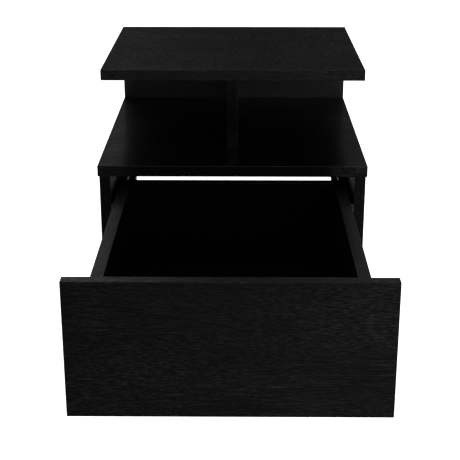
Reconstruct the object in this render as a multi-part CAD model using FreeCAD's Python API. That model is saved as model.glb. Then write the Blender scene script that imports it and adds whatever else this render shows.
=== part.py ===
"""Wall-hung bedside cabinet: open shelf bay above a full-extension drawer, stored with the drawer pulled out.

Millimetres. The origin is on the wall plane, midway between the two wall-screw holes of the wall rail.
+X is to the right as seen from the room, +Y is into the wall, +Z is up.
"""

import FreeCAD, Part
import os

from FreeCAD import Vector

# ---- driving dimensions -------------------------------------------------------------------------
WIDTH = 365.0                 # overall width of every full-width board
BOARD = 15.0                  # thickness of every wood-grain board
MIDDLE_DEPTH = 405.0          # depth of the shelf board over the drawer
TOP_DEPTH = 330.0             # depth of the top board
DIVIDER_DEPTH = 317.0         # front edge of the divider, from the wall
BAY_HEIGHT = 100.0            # clear height of the open shelf bay
CASE_HEIGHT = 170.0           # height of the case sides under the shelf board
FRONT_GAP = 3.0               # gap between the closed drawer front and the case
RAIL_HEIGHT = 80.0            # height of the wall rail under the shelf board
WALL_HOLE_SPACING = 240.0     # spacing of the two wall-screw holes
WALL_HOLE_RADIUS = 2.75       # clearance hole for a 5 mm wall screw

FRONT_HEIGHT = 163.0          # drawer front
FRONT_DROP = 6.0              # gap between the shelf board and the drawer front
TRAVEL = 350.0                # full extension of the drawer slides
BOX_LENGTH = 370.0            # drawer sides, behind the front
BOX_HEIGHT = 130.0            # drawer sides
BOX_DROP = 15.5               # top of the drawer sides, below the shelf board
BOTTOM_SHEET = 3.0            # hardboard drawer bottom
BOTTOM_RISE = 10.0            # drawer bottom's groove, above the lower edge of the sides
GROOVE_DEPTH = 6.0
GROOVE_HEIGHT = 3.2

BAND = 0.8                    # thickness of the edge banding
EASE = 0.5                    # rounding of the banded arrises

SLIDE_LENGTH = 350.0
SLIDE_SPACE = 12.7            # side space that a ball-bearing slide fills
SLIDE_SHEET = 1.2             # steel sheet of the slide members
SLIDE_BEND = 2.2              # outer bend radius of the sheet
SLIDE_START = 1.0             # cabinet member's front end, behind the case's front edge
SLIDE_DROP = 68.0             # slide's centre line, below the underside of the shelf board
# Channel sections: nearest and furthest u (mm out from the case side), half height, half mouth
CABINET_SECTION = (0.0, 11.6, 22.5, 18.3)
MIDDLE_SECTION = (3.0, 11.0, 16.4, 13.4)
DRAWER_SECTION = (6.0, SLIDE_SPACE, 10.3, 6.9)
# Ball cages: web u, strip's far u, height of a ball row over the centre line, u of the balls
OUTER_CAGE = (1.8, 9.4, 18.85, 6.6)
INNER_CAGE = (4.8, 10.2, 12.75, 7.55)
BALL_RADIUS = 2.0
BALLS_PER_ROW = 6
BALL_PITCH = 26.0
CAGE_LENGTH = 160.0
CAGE_SHEET = 0.6
CAGE_WINDOW = (45.0, 8.0)     # half length and half height of the opening in a cage's web
CABINET_SCREW_SETS = (36.0, 180.0, 316.0)    # screws of the cabinet member, from its front end
DRAWER_SCREW_SETS = (30.0, 191.0, 326.0)     # screws of the drawer member, from its front end
ACCESS_RADIUS = 5.5           # screwdriver holes in the middle member

LEVER_SETBACK = 105.0         # lever's rivet, from the front end of the drawer member
LEVER_LENGTH = 58.0
LEVER_HEEL = 5.0              # half height at the rivet
LEVER_TIP = 2.6               # half height at the free end
LEVER_SPAN = (7.7, 10.3)      # u of the lever's two faces
LEVER_RIBS = 4
RIVET_RADIUS = 2.0
RIVET_HEAD = (3.2, 0.6)       # radius and thickness
RIVET_PLAY = 0.08             # running clearance of the lever on its rivet

CLEAR = 0.1                   # radial clearance of a hole over its fastener
CAM_RADIUS = 7.3
CAM_DEPTH = 12.0
CAM_REACH = 24.0              # cam's axis, from the joint
CAM_SLOT = (9.0, 1.4, 2.5)    # screwdriver cross: length, width, depth
BOLT_NECK = 2.0
BOLT_HEAD = (3.2, 3.0)        # radius and length
BOLT_THREAD = 2.5
DOWEL_RADIUS = 4.0
DOWEL_LENGTH = 30.0
DOWEL_SHALLOW = 10.0          # part of a dowel that is in the face-drilled board
# Screws: head radius, shank radius, length
CASE_SCREW = (4.6, 2.6, 50.0)
BACK_SCREW = (4.0, 2.2, 40.0)
SLIDE_SCREW = (3.2, 1.6, 13.0)
SHEET_SCREW = (3.5, 1.5, 17.0)
PAN_HEAD = (3.4, 1.6)         # radius and height
BUFFER_RADIUS = 5.0
BUFFER_PLAY = 0.4             # gap left at a buffer when the drawer is shut

FITTING_SETBACK = 60.0        # cam locks, from the wall and from the front edges
FITTING_STEP = 50.0           # from a cam lock to the dowel beside it
RAIL_DOWEL_Z = 22.0
PANEL_CAM_X = 150.0
PANEL_SCREW_X = 130.0
PANEL_DOWEL_X = 90.0
DIVIDER_DOWELS = (-90.0, -250.0)
DIVIDER_SCREWS = (-110.0, -270.0)
PANEL_SCREW_RISES = (25.0, 75.0)
FRONT_CAM_INSETS = (18.0, 27.0)     # from the top and bottom edges of a drawer side
FRONT_DOWEL_INSETS = (38.0, 52.0)
BACK_SCREW_INSETS = (18.0, 37.0)
BUFFER_INSET = 14.0
SHEET_SCREW_XS = (-100.0, 0.0, 100.0)

# ---- levels and planes worked out from them -------------------------------------------------------
HALF = WIDTH / 2
INNER = HALF - BOARD                                # inner face of a case side
RAIL_TOP = RAIL_HEIGHT / 2                          # the origin is at the rail's mid-height
MIDDLE_TOP = RAIL_TOP + BOARD
TOP_UNDER = MIDDLE_TOP + BAY_HEIGHT
TOP_TOP = TOP_UNDER + BOARD
CASE_BOTTOM = RAIL_TOP - CASE_HEIGHT
CASE_FRONT = -(MIDDLE_DEPTH - BOARD - FRONT_GAP)    # front edges of the case sides
MID = BOARD / 2

BOX_HALF = INNER - SLIDE_SPACE                      # outer face of a drawer side
BOX_INNER = BOX_HALF - BOARD
BOX_TOP = RAIL_TOP - BOX_DROP
BOX_BOTTOM = BOX_TOP - BOX_HEIGHT
FRONT_TOP = RAIL_TOP - FRONT_DROP
FRONT_BOTTOM = FRONT_TOP - FRONT_HEIGHT
FRONT_FACE = -(MIDDLE_DEPTH + TRAVEL)               # drawer pulled fully out
FRONT_BACK = FRONT_FACE + BOARD
BOX_REAR = FRONT_BACK + BOX_LENGTH
GROOVE_LOW = BOX_BOTTOM + BOTTOM_RISE
SHEET_TOP = GROOVE_LOW + 0.1 + BOTTOM_SHEET

SLIDE_Z = RAIL_TOP - SLIDE_DROP
OUTER_FRONT = CASE_FRONT + SLIDE_START              # front end of the cabinet member
MIDDLE_FRONT = OUTER_FRONT - TRAVEL / 2             # intermediate member travels half as far
DRAWER_MEMBER_FRONT = OUTER_FRONT - TRAVEL
CAGE_CENTRE = OUTER_FRONT + SLIDE_LENGTH / 2        # ball cages, drawer shut
OUTER_CAGE_CENTRE = CAGE_CENTRE - TRAVEL / 4
INNER_CAGE_CENTRE = CAGE_CENTRE - TRAVEL * 3 / 4

X_AXIS = Vector(1, 0, 0)
Y_AXIS = Vector(0, 1, 0)
Z_AXIS = Vector(0, 0, 1)

parts = {}


# ---- small shape helpers ----------------------------------------------------------------------------
def box(x0, x1, y0, y1, z0, z1):
    """Box between two corners."""
    return Part.makeBox(x1 - x0, y1 - y0, z1 - z0, Vector(x0, y0, z0))


def rod(start, direction, radius, length):
    """Round bar from a point along a direction."""
    return Part.makeCylinder(radius, length, start, direction)


def cone(start, direction, r0, r1, length):
    """Tapered bar from a point along a direction."""
    return Part.makeCone(r0, r1, length, start, direction)


def mirrored(shape):
    """The same piece on the left-hand side."""
    return shape.mirror(Vector(0, 0, 0), X_AXIS)


def cut_from(names, cutter):
    """Removes a cutter from the named boards."""
    for name in names:
        parts[name] = parts[name].cut(cutter)


# ---- boards and their edge banding ------------------------------------------------------------------
def board(name, x0, x1, y0, y1, z0, z1, banded):
    """A wood-grain board; banded names its taped edges, such as "-y" for the front edge."""
    blank = box(x0, x1, y0, y1, z0, z1)
    planes = {"-x": (0, x0), "+x": (0, x1), "-y": (1, y0), "+y": (1, y1), "-z": (2, z0), "+z": (2, z1)}
    taped = [planes[edge] for edge in banded]
    arrises = []
    for edge in blank.Edges:
        middle = edge.BoundBox.Center
        if any(abs(middle[axis] - at) < 1e-6 for axis, at in taped):
            arrises.append(edge)
    blank = blank.makeFillet(EASE, arrises)
    strips = []
    for axis, at in taped:
        low = [x0 - 1, y0 - 1, z0 - 1]
        high = [x1 + 1, y1 + 1, z1 + 1]
        if abs(at - (x0, y0, z0)[axis]) < 1e-6:
            high[axis] = at + BAND
        else:
            low[axis] = at - BAND
        slab = box(low[0], high[0], low[1], high[1], low[2], high[2])
        strips += blank.common(slab).Solids
        blank = blank.cut(slab)
    parts[name] = blank
    parts[name + "_edging"] = Part.makeCompound(strips)


def case_boards():
    """The fixed carcass, from the top down."""
    board("top_board", -HALF, HALF, -TOP_DEPTH, 0, TOP_UNDER, TOP_TOP, ("-y", "-x", "+x"))
    board("upper_back_panel", -HALF, HALF, -BOARD, 0, MIDDLE_TOP, TOP_UNDER, ("-x", "+x"))
    board("centre_divider", -MID, MID, -DIVIDER_DEPTH, -BOARD, MIDDLE_TOP, TOP_UNDER, ("-y",))
    board("middle_board", -HALF, HALF, -MIDDLE_DEPTH, 0, RAIL_TOP, MIDDLE_TOP, ("-y", "-x", "+x"))
    board("case_side_left", -HALF, -INNER, CASE_FRONT, 0, CASE_BOTTOM, RAIL_TOP, ("-y", "-z"))
    board("case_side_right", INNER, HALF, CASE_FRONT, 0, CASE_BOTTOM, RAIL_TOP, ("-y", "-z"))
    board("bottom_panel", -INNER, INNER, CASE_FRONT, 0, CASE_BOTTOM, CASE_BOTTOM + BOARD, ("-y",))
    board("wall_rail", -INNER, INNER, -BOARD, 0, -RAIL_TOP, RAIL_TOP, ("-z",))
    for side in (-1, 1):
        centre = Vector(side * WALL_HOLE_SPACING / 2, 0, 0)
        cut_from(["wall_rail"], rod(centre + Vector(0, 1, 0), -Y_AXIS, WALL_HOLE_RADIUS, BOARD + 2))
        mouth = centre - Vector(0, BOARD, 0)
        cut_from(["wall_rail"], cone(mouth, Y_AXIS, 2 * WALL_HOLE_RADIUS, WALL_HOLE_RADIUS, WALL_HOLE_RADIUS))


def drawer_boards():
    """The drawer, pulled out by its full travel."""
    board("drawer_front", -HALF, HALF, FRONT_FACE, FRONT_BACK, FRONT_BOTTOM, FRONT_TOP,
          ("+z", "-z", "-x", "+x"))
    board("drawer_side_left", -BOX_HALF, -BOX_INNER, FRONT_BACK, BOX_REAR, BOX_BOTTOM, BOX_TOP, ("+z",))
    board("drawer_side_right", BOX_INNER, BOX_HALF, FRONT_BACK, BOX_REAR, BOX_BOTTOM, BOX_TOP, ("+z",))
    board("drawer_back", -BOX_INNER, BOX_INNER, BOX_REAR - BOARD, BOX_REAR, SHEET_TOP, BOX_TOP, ("+z",))
    reach = BOX_INNER + GROOVE_DEPTH
    groove_top = GROOVE_LOW + GROOVE_HEIGHT
    groove = box(-reach, reach, FRONT_BACK - GROOVE_DEPTH, BOX_REAR + 1, GROOVE_LOW, groove_top)
    cut_from(["drawer_front", "drawer_side_left", "drawer_side_right"], groove)
    edge = reach - 0.5
    parts["drawer_bottom"] = box(-edge, edge, FRONT_BACK - GROOVE_DEPTH + 0.5, BOX_REAR,
                                 SHEET_TOP - BOTTOM_SHEET, SHEET_TOP)


# ---- knock-down fittings ----------------------------------------------------------------------------
def cam_fitting(face, inward, towards):
    """Cam lock in a board's face and the bolt that it draws; returns cam, bolt, board bore, far bore."""
    axis = face + inward * MID
    sideways = inward.cross(towards)
    cam = rod(face + inward * 0.2, inward, CAM_RADIUS, CAM_DEPTH - 0.4)
    cam = cam.cut(rod(axis - towards * 2.4, towards, BOLT_HEAD[0] + 0.4, CAM_RADIUS + 3))
    length, width, depth = CAM_SLOT
    for arm in (sideways, towards):
        slot = Part.makeBox(length, width, 2 * depth)
        slot.translate(Vector(-length / 2, -width / 2, -depth))
        other = inward.cross(arm)
        slot = slot.transformGeometry(FreeCAD.Matrix(
            arm.x, other.x, inward.x, face.x,
            arm.y, other.y, inward.y, face.y,
            arm.z, other.z, inward.z, face.z,
            0, 0, 0, 1))
        cam = cam.cut(slot)
    head = rod(axis - towards * BOLT_HEAD[1] / 2, towards, BOLT_HEAD[0], BOLT_HEAD[1])
    neck = rod(axis, towards, BOLT_NECK, CAM_REACH)
    thread = rod(axis + towards * CAM_REACH, towards, BOLT_THREAD, DOWEL_SHALLOW)
    bolt = head.fuse([neck, thread]).removeSplitter()
    near = rod(face - inward, inward, CAM_RADIUS + CLEAR, CAM_DEPTH + 1)
    near = near.fuse(rod(axis, towards, DOWEL_RADIUS, CAM_REACH + 0.01))
    far = rod(axis + towards * (CAM_REACH - 1), towards, BOLT_THREAD + CLEAR, DOWEL_SHALLOW + 1.5)
    return cam, bolt, near, far


def dowel(joint, towards):
    """Beech dowel across a joint, shallow in the board that towards points into; returns dowel and bore."""
    start = joint + towards * DOWEL_SHALLOW
    pin = rod(start, -towards, DOWEL_RADIUS, DOWEL_LENGTH)
    pin = pin.makeChamfer(0.8, [e for e in pin.Edges if e.Closed and e.Length < 30])
    bore = rod(start + towards * 0.5, -towards, DOWEL_RADIUS + CLEAR, DOWEL_LENGTH + 1)
    return pin, bore


def countersunk_screw(head, inward, size):
    """Countersunk screw from the face at head, along inward; returns the screw and its bore."""
    head_radius, shank, length = size
    rise = head_radius - shank
    point = 3.0
    sunk = head + inward * CLEAR
    screw = cone(sunk, inward, head_radius, shank, rise).fuse(rod(sunk, inward, shank, length - point))
    screw = screw.fuse(cone(sunk + inward * (length - point), inward, shank, 0.6, point)).removeSplitter()
    screw = screw.cut(rod(sunk - inward, inward, head_radius * 0.4, 1 + rise * 0.5))
    bore = cone(head, inward, head_radius + CLEAR, shank + CLEAR, rise)
    bore = bore.fuse([rod(head, inward, shank + CLEAR, length + 1),
                      rod(head - inward, inward, head_radius + CLEAR, 1)])
    return screw, bore


def collect(name, solids):
    """Puts identical fasteners into one node."""
    parts[name] = Part.makeCompound(solids)


def case_fittings():
    """Cams, bolts, dowels and screws of the carcass."""
    cams, bolts, dowels, screws = [], [], [], []
    near_y, far_y = CASE_FRONT + FITTING_SETBACK, -FITTING_SETBACK

    def add_cam(face, inward, towards, near_board, far_board):
        cam, bolt, near, far = cam_fitting(face, inward, towards)
        cut_from([near_board], near)
        cut_from([far_board], far)
        cams.append(cam)
        bolts.append(bolt)

    def add_dowel(joint, towards, near_board, far_board):
        pin, bore = dowel(joint, towards)
        cut_from([near_board, far_board], bore)
        dowels.append(pin)

    def add_screw(head, inward, boards):
        screw, bore = countersunk_screw(head, inward, CASE_SCREW)
        cut_from(boards, bore)
        screws.append(screw)

    for side, hand in ((-1, "left"), (1, "right")):
        out = X_AXIS * side
        case_side = "case_side_" + hand
        for y in (near_y, far_y):
            add_cam(Vector(side * INNER, y, RAIL_TOP - CAM_REACH), out, Z_AXIS, case_side, "middle_board")
            centre = Vector(side * (INNER - CAM_REACH), y, CASE_BOTTOM)
            add_cam(centre, Z_AXIS, out, "bottom_panel", case_side)
        for y in (near_y + FITTING_STEP, far_y - FITTING_STEP):
            add_dowel(Vector(side * (INNER + MID), y, RAIL_TOP), Z_AXIS, case_side, "middle_board")
            add_dowel(Vector(side * INNER, y, CASE_BOTTOM + MID), out, "bottom_panel", case_side)
        add_cam(Vector(side * (INNER - CAM_REACH), -BOARD, 0), Y_AXIS, out, "wall_rail", case_side)
        for z in (-RAIL_DOWEL_Z, RAIL_DOWEL_Z):
            add_dowel(Vector(side * INNER, -MID, z), out, "wall_rail", case_side)
        panel_cam = Vector(side * PANEL_CAM_X, 0, TOP_UNDER - CAM_REACH)
        add_cam(panel_cam, -Y_AXIS, Z_AXIS, "upper_back_panel", "top_board")
        add_dowel(Vector(side * PANEL_DOWEL_X, -MID, TOP_UNDER), Z_AXIS, "upper_back_panel", "top_board")
        add_screw(Vector(side * PANEL_SCREW_X, -MID, RAIL_TOP), Z_AXIS, ["middle_board", "upper_back_panel"])
    for y in DIVIDER_DOWELS:
        add_dowel(Vector(0, y, TOP_UNDER), Z_AXIS, "centre_divider", "top_board")
    for y in DIVIDER_SCREWS:
        add_screw(Vector(0, y, RAIL_TOP), Z_AXIS, ["middle_board", "centre_divider"])
    for rise in PANEL_SCREW_RISES:
        add_screw(Vector(0, 0, MIDDLE_TOP + rise), -Y_AXIS, ["upper_back_panel", "centre_divider"])
    collect("case_cam_locks", cams)
    collect("case_cam_bolts", bolts)
    collect("case_dowels", dowels)
    collect("case_screws", screws)


def drawer_fittings():
    """Cams, bolts, dowels, screws and buffers of the drawer."""
    cams, bolts, dowels, screws, buffers = [], [], [], [], []
    for side, hand in ((-1, "left"), (1, "right")):
        drawer_side = "drawer_side_" + hand
        for z in (BOX_TOP - FRONT_CAM_INSETS[0], BOX_BOTTOM + FRONT_CAM_INSETS[1]):
            face = Vector(side * BOX_HALF, FRONT_BACK + CAM_REACH, z)
            cam, bolt, near, far = cam_fitting(face, X_AXIS * -side, -Y_AXIS)
            cut_from([drawer_side], near)
            cut_from(["drawer_front"], far)
            cams.append(cam)
            bolts.append(bolt)
        for z in (BOX_TOP - FRONT_DOWEL_INSETS[0], BOX_BOTTOM + FRONT_DOWEL_INSETS[1]):
            pin, bore = dowel(Vector(side * (BOX_HALF - MID), FRONT_BACK, z), -Y_AXIS)
            cut_from([drawer_side, "drawer_front"], bore)
            dowels.append(pin)
        for z in (BOX_TOP - BACK_SCREW_INSETS[0], BOX_BOTTOM + BACK_SCREW_INSETS[1]):
            head = Vector(side * BOX_HALF, BOX_REAR - MID, z)
            screw, bore = countersunk_screw(head, X_AXIS * -side, BACK_SCREW)
            cut_from([drawer_side, "drawer_back"], bore)
            screws.append(screw)
        for z in (FRONT_TOP - BUFFER_INSET, FRONT_BOTTOM + BUFFER_INSET):
            seat = Vector(side * (INNER + MID), FRONT_BACK, z)
            pad = rod(seat, Y_AXIS, BUFFER_RADIUS, FRONT_GAP - BUFFER_PLAY)
            buffers.append(pad.makeFillet(0.9, [e for e in pad.Edges if e.CenterOfMass.y > FRONT_BACK + 2]))
    collect("drawer_cam_locks", cams)
    collect("drawer_cam_bolts", bolts)
    collect("drawer_dowels", dowels)
    collect("drawer_back_screws", screws)
    collect("drawer_front_buffers", buffers)
    sheet_screws = []
    head_radius, shank, length = SHEET_SCREW
    for x in SHEET_SCREW_XS:
        under = Vector(x, BOX_REAR - MID, SHEET_TOP - BOTTOM_SHEET)
        head = rod(under - Z_AXIS * PAN_HEAD[1], Z_AXIS, head_radius, PAN_HEAD[1])
        sheet_screws.append(head.fuse(rod(under, Z_AXIS, shank, length)).removeSplitter())
        cut_from(["drawer_bottom", "drawer_back"], rod(under, Z_AXIS, shank + CLEAR, length + 1))
    collect("drawer_bottom_screws", sheet_screws)


# ---- ball-bearing slides (right-hand one built, left-hand one mirrored) ------------------------------
def across(u):
    """X of a point u millimetres from the right-hand case side, towards the drawer."""
    return INNER - u


def channel(section, front, opens_to_drawer):
    """Rolled steel channel: a rounded tube with its mouth slit open on one side."""
    u0, u1, half, mouth = section
    rear = front + SLIDE_LENGTH
    bend = SLIDE_BEND
    tube = box(across(u1), across(u0), front, rear, SLIDE_Z - half, SLIDE_Z + half)
    tube = tube.makeFillet(bend, [e for e in tube.Edges if abs(e.Length - SLIDE_LENGTH) < 1e-6])
    t = SLIDE_SHEET
    core = box(across(u1) + t, across(u0) - t, front - 1, rear + 1, SLIDE_Z - half + t, SLIDE_Z + half - t)
    core = core.makeFillet(bend - t, [e for e in core.Edges if abs(e.Length - SLIDE_LENGTH - 2) < 1e-6])
    middle = across((u0 + u1) / 2)
    outside = across(u1) - 1 if opens_to_drawer else across(u0) + 1
    x0, x1 = sorted((middle, outside))
    slit = box(x0, x1, front - 1, rear + 1, SLIDE_Z - mouth, SLIDE_Z + mouth)
    return tube.cut(core).cut(slit)


def ball_cage(section, centre):
    """Ball retainer: a web with two perforated strips, and its two rows of balls."""
    u0, u1, z_row, ball_u = section
    y0, y1 = centre - CAGE_LENGTH / 2, centre + CAGE_LENGTH / 2
    half = z_row + CAGE_SHEET / 2
    cage = box(across(u1), across(u0), y0, y1, SLIDE_Z - half, SLIDE_Z + half)
    inner = half - CAGE_SHEET
    hollow = box(across(u1) - 1, across(u0 + CAGE_SHEET), y0 - 1, y1 + 1, SLIDE_Z - inner, SLIDE_Z + inner)
    cage = cage.cut(hollow)
    long, high = CAGE_WINDOW
    web_x = across(u0)
    window = box(web_x - 2, web_x + 2, centre - long, centre + long, SLIDE_Z - high, SLIDE_Z + high)
    cage = cage.cut(window)
    balls = []
    for row in (-1, 1):
        for i in range(BALLS_PER_ROW):
            y = centre + (i - (BALLS_PER_ROW - 1) / 2) * BALL_PITCH
            at = Vector(across(ball_u), y, SLIDE_Z + row * z_row)
            balls.append(Part.makeSphere(BALL_RADIUS, at))
            cage = cage.cut(rod(at - Z_AXIS * 2, Z_AXIS, BALL_RADIUS + CLEAR, 4))
    return cage, Part.makeCompound(balls)


def release_lever(pivot_y):
    """Plastic lever in the drawer member that frees the drawer, and the rivet that it turns on."""
    u0, u1 = LEVER_SPAN
    heel, tip, end = LEVER_HEEL, LEVER_TIP, pivot_y + LEVER_LENGTH
    x = across(u1)
    profile = [
        Vector(x, pivot_y, SLIDE_Z + heel),
        Vector(x, end, SLIDE_Z + tip),
        Vector(x, end, SLIDE_Z - tip),
        Vector(x, pivot_y, SLIDE_Z - heel),
    ]
    edges = [Part.LineSegment(profile[i], profile[i + 1]).toShape() for i in range(3)]
    nose = Part.Arc(profile[3], Vector(x, pivot_y - heel, SLIDE_Z), profile[0]).toShape()
    arm = Part.Face(Part.Wire(edges + [nose])).extrude(X_AXIS * (u1 - u0))
    pivot = Vector(x - 1, pivot_y, SLIDE_Z)
    lever = arm.cut(rod(pivot, X_AXIS, RIVET_RADIUS + RIVET_PLAY, 6))
    for i in range(LEVER_RIBS):
        groove_y = end - 3.0 * (i + 1)
        face_x = across(u0)
        groove = box(face_x - 0.7, face_x + 1, groove_y, groove_y + 1.5, SLIDE_Z - heel, SLIDE_Z + heel)
        lever = lever.cut(groove)
    head_u = u0 - 0.2
    head_radius, head_height = RIVET_HEAD
    rivet = rod(Vector(across(SLIDE_SPACE), pivot_y, SLIDE_Z), X_AXIS, RIVET_RADIUS, SLIDE_SPACE - head_u)
    rivet = rivet.fuse(rod(Vector(across(head_u), pivot_y, SLIDE_Z), X_AXIS, head_radius, head_height))
    rivet = rivet.removeSplitter()
    return lever, rivet


def slides():
    """Both three-part slides with their cages, balls, levers and screws."""
    outer = channel(CABINET_SECTION, OUTER_FRONT, True)
    middle = channel(MIDDLE_SECTION, MIDDLE_FRONT, True)
    inner = channel(DRAWER_SECTION, DRAWER_MEMBER_FRONT, False)
    case_screws, drawer_screws = [], []
    for back in CABINET_SCREW_SETS:
        head = Vector(across(SLIDE_SHEET), OUTER_FRONT + back, SLIDE_Z)
        screw, bore = countersunk_screw(head, X_AXIS, SLIDE_SCREW)
        case_screws.append(screw)
        outer = outer.cut(bore)
        for side_name, cutter in (("case_side_right", bore), ("case_side_left", mirrored(bore))):
            cut_from([side_name], cutter)
        access = rod(Vector(across(8), MIDDLE_FRONT + back, SLIDE_Z), X_AXIS, ACCESS_RADIUS, 6)
        middle = middle.cut(access)
    head_radius, head_height = PAN_HEAD
    for back in DRAWER_SCREW_SETS:
        under = Vector(across(SLIDE_SPACE - SLIDE_SHEET), DRAWER_MEMBER_FRONT + back, SLIDE_Z)
        head = rod(under, X_AXIS, head_radius, head_height)
        rim = [e for e in head.Edges if e.CenterOfMass.x > under.x + head_height - 0.1]
        head = head.makeFillet(head_height / 2, rim)
        screw = head.fuse(rod(under, -X_AXIS, SLIDE_SCREW[1], SLIDE_SCREW[2])).removeSplitter()
        drawer_screws.append(screw.cut(rod(under + X_AXIS * head_height / 2, X_AXIS, 1.3, 2)))
        bore = rod(under, -X_AXIS, SLIDE_SCREW[1] + CLEAR, SLIDE_SCREW[2] + 1)
        inner = inner.cut(bore)
        for side_name, cutter in (("drawer_side_right", bore), ("drawer_side_left", mirrored(bore))):
            cut_from([side_name], cutter)
    outer_cage, outer_balls = ball_cage(OUTER_CAGE, OUTER_CAGE_CENTRE)
    inner_cage, inner_balls = ball_cage(INNER_CAGE, INNER_CAGE_CENTRE)
    pivot_y = DRAWER_MEMBER_FRONT + LEVER_SETBACK
    lever, rivet = release_lever(pivot_y)
    rivet_hole = rod(Vector(across(SLIDE_SPACE + 1), pivot_y, SLIDE_Z), X_AXIS, RIVET_RADIUS + CLEAR, 4)
    inner = inner.cut(rivet_hole)
    pieces = {
        "slide_cabinet_member": outer,
        "slide_middle_member": middle,
        "slide_drawer_member": inner,
        "slide_outer_ball_cage": outer_cage,
        "slide_outer_balls": outer_balls,
        "slide_inner_ball_cage": inner_cage,
        "slide_inner_balls": inner_balls,
        "slide_release_lever": lever,
        "slide_lever_rivet": rivet,
        "slide_case_screws": Part.makeCompound(case_screws),
        "slide_drawer_screws": Part.makeCompound(drawer_screws),
    }
    for name, shape in pieces.items():
        parts[name + "_right"] = shape
        parts[name + "_left"] = mirrored(shape)


def main():
    """Builds every piece and writes one STEP file per node."""
    case_boards()
    drawer_boards()
    case_fittings()
    drawer_fittings()
    slides()
    os.makedirs("parts", exist_ok=True)
    for name, shape in parts.items():
        shape.exportStep("parts/" + name + ".step")
    print(len(parts), "nodes,", sum(len(s.Solids) for s in parts.values()), "solids")


main()
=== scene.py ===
"""Looks of a wall-hung bedside cabinet: black wood-grain boards, a drawer and its steel slides."""

import logging
import math
from dataclasses import dataclass, field
from enum import Enum
from typing import Sequence, Union

import bmesh
import bpy
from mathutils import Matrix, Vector


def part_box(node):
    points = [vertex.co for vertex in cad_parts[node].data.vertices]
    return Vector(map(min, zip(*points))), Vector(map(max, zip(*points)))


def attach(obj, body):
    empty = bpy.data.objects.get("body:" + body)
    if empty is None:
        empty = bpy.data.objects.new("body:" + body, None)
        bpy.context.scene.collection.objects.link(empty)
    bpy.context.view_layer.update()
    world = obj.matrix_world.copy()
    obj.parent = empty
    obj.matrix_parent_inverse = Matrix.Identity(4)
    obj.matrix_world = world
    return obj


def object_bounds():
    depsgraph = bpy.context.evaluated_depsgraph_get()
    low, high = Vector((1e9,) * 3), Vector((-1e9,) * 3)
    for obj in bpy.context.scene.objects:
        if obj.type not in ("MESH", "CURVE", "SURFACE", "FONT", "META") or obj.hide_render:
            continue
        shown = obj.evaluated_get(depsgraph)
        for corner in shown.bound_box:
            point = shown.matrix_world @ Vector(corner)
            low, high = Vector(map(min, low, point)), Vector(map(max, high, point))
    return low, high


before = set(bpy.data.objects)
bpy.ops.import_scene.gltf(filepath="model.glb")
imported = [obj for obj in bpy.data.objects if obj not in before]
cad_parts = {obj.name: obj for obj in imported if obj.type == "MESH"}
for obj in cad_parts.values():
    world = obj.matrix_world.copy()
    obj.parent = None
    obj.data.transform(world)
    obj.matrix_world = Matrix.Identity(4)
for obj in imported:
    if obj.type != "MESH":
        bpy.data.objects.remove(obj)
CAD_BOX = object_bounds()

LOG = logging.getLogger("bedside_cabinet")
MILLIMETRE = 0.001
BEVEL_STEPS = 3
WHITE = (1.0, 1.0, 1.0, 1.0)

Colour = tuple[float, float, float, float]
Point = tuple[float, float, float]
Span = tuple[float, float]
Fade = tuple[float, float, float, float]
Source = Union[float, Sequence[float], bpy.types.NodeSocket]


def grey(level: float, warmth: float = 0.0) -> Colour:
    """A dark neutral tone; warmth above 0 leans to brown and below 0 to blue."""
    return (level * (1 + warmth), level, level * (1 - warmth), 1.0)


class Axis(Enum):
    """An axis of the cabinet's own frame."""

    X = (1.0, 0.0, 0.0)
    Y = (0.0, 1.0, 0.0)
    Z = (0.0, 0.0, 1.0)

    @property
    def index(self) -> int:
        """0 for X, 1 for Y and 2 for Z."""
        return "XYZ".index(self.name)


class Side(Enum):
    """Left or right as seen from the room."""

    LEFT = "left"
    RIGHT = "right"

    @property
    def sign(self) -> float:
        """-1 on the left and +1 on the right."""
        return -1.0 if self is Side.LEFT else 1.0


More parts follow.
